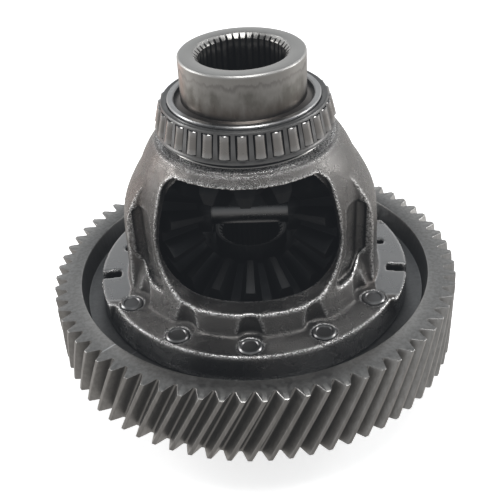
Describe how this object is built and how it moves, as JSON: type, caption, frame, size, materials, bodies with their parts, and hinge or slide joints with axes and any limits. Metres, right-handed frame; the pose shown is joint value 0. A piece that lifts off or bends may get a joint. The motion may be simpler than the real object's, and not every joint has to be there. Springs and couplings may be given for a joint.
{
  "type": "differential gear assembly",
  "caption": "Transaxle differential: cast case with windows, splined hub and taper roller bearings, bolted helical ring gear, and bevel gears on a cross shaft inside.",
  "frame": {"origin": "centre of the lower hub's end face, on the axis that the wheels turn about, where the part stands", "axes": "+Z along the hubs' common axis, up through the splined hub; +X along the pinion shaft; the case's windows face -Y and +Y"},
  "size_m": [0.222, 0.222, 0.2],
  "materials": {
    "case_casting": "oily dark grey-brown sand casting, machined on its seats",
    "ring_gear_steel": "dark grey ground and phosphated gear steel",
    "bearing_steel": "ground bearing steel",
    "cage_steel": "dull pressed steel",
    "roller_steel": "ground steel, oily",
    "bevel_gear_steel": "forged and heat-treated steel, oily",
    "shaft_steel": "ground steel, oily",
    "washer_steel": "phosphated steel",
    "bolt_steel": "oiled black steel"
  },
  "bodies": {
    "case": {"differential_case": "case_casting", "ring_gear": "ring_gear_steel", "ring_gear_bolt_01": "bolt_steel", "ring_gear_bolt_02": "bolt_steel", "ring_gear_bolt_03": "bolt_steel", "ring_gear_bolt_04": "bolt_steel", "ring_gear_bolt_05": "bolt_steel", "ring_gear_bolt_06": "bolt_steel", "ring_gear_bolt_07": "bolt_steel", "ring_gear_bolt_08": "bolt_steel", "ring_gear_bolt_09": "bolt_steel", "ring_gear_bolt_10": "bolt_steel", "upper_bearing_inner_ring": "bearing_steel", "lower_bearing_inner_ring": "bearing_steel", "pinion_shaft": "shaft_steel", "pinion_shaft_lock_pin": "shaft_steel", "upper_side_gear_washer": "washer_steel", "lower_side_gear_washer": "washer_steel", "right_pinion_washer": "washer_steel", "left_pinion_washer": "washer_steel"},
    "upper_side_gear": {"upper_side_gear": "bevel_gear_steel"},
    "lower_side_gear": {"lower_side_gear": "bevel_gear_steel"},
    "right_pinion": {"right_pinion_gear": "bevel_gear_steel"},
    "left_pinion": {"left_pinion_gear": "bevel_gear_steel"},
    "upper_roller_set": {"upper_bearing_cage": "cage_steel", "upper_bearing_rollers": "roller_steel"},
    "lower_roller_set": {"lower_bearing_cage": "cage_steel", "lower_bearing_rollers": "roller_steel"}
  },
  "joints": [
    {"name": "upper_side_gear_spin", "type": "hinge", "parent": "case", "child": "upper_side_gear", "pos_m": [0, 0, 0.111], "axis": [0, 0, 1], "continuous": true},
    {"name": "lower_side_gear_spin", "type": "hinge", "parent": "case", "child": "lower_side_gear", "pos_m": [0, 0, 0.111], "axis": [0, 0, 1], "continuous": true},
    {"name": "right_pinion_spin", "type": "hinge", "parent": "case", "child": "right_pinion", "pos_m": [0, 0, 0.111], "axis": [1, 0, 0], "continuous": true},
    {"name": "left_pinion_spin", "type": "hinge", "parent": "case", "child": "left_pinion", "pos_m": [0, 0, 0.111], "axis": [1, 0, 0], "continuous": true},
    {"name": "upper_roller_set_spin", "type": "hinge", "parent": "case", "child": "upper_roller_set", "pos_m": [0, 0, 0.1683], "axis": [0, 0, 1], "continuous": true},
    {"name": "lower_roller_set_spin", "type": "hinge", "parent": "case", "child": "lower_roller_set", "pos_m": [0, 0, 0.023], "axis": [0, 0, 1], "continuous": true}
  ],
  "couplings": [
    {"joint": "lower_side_gear_spin", "follows": "upper_side_gear_spin", "ratio": -1},
    {"joint": "right_pinion_spin", "follows": "upper_side_gear_spin", "ratio": -1.4},
    {"joint": "left_pinion_spin", "follows": "upper_side_gear_spin", "ratio": 1.4}
  ]
}
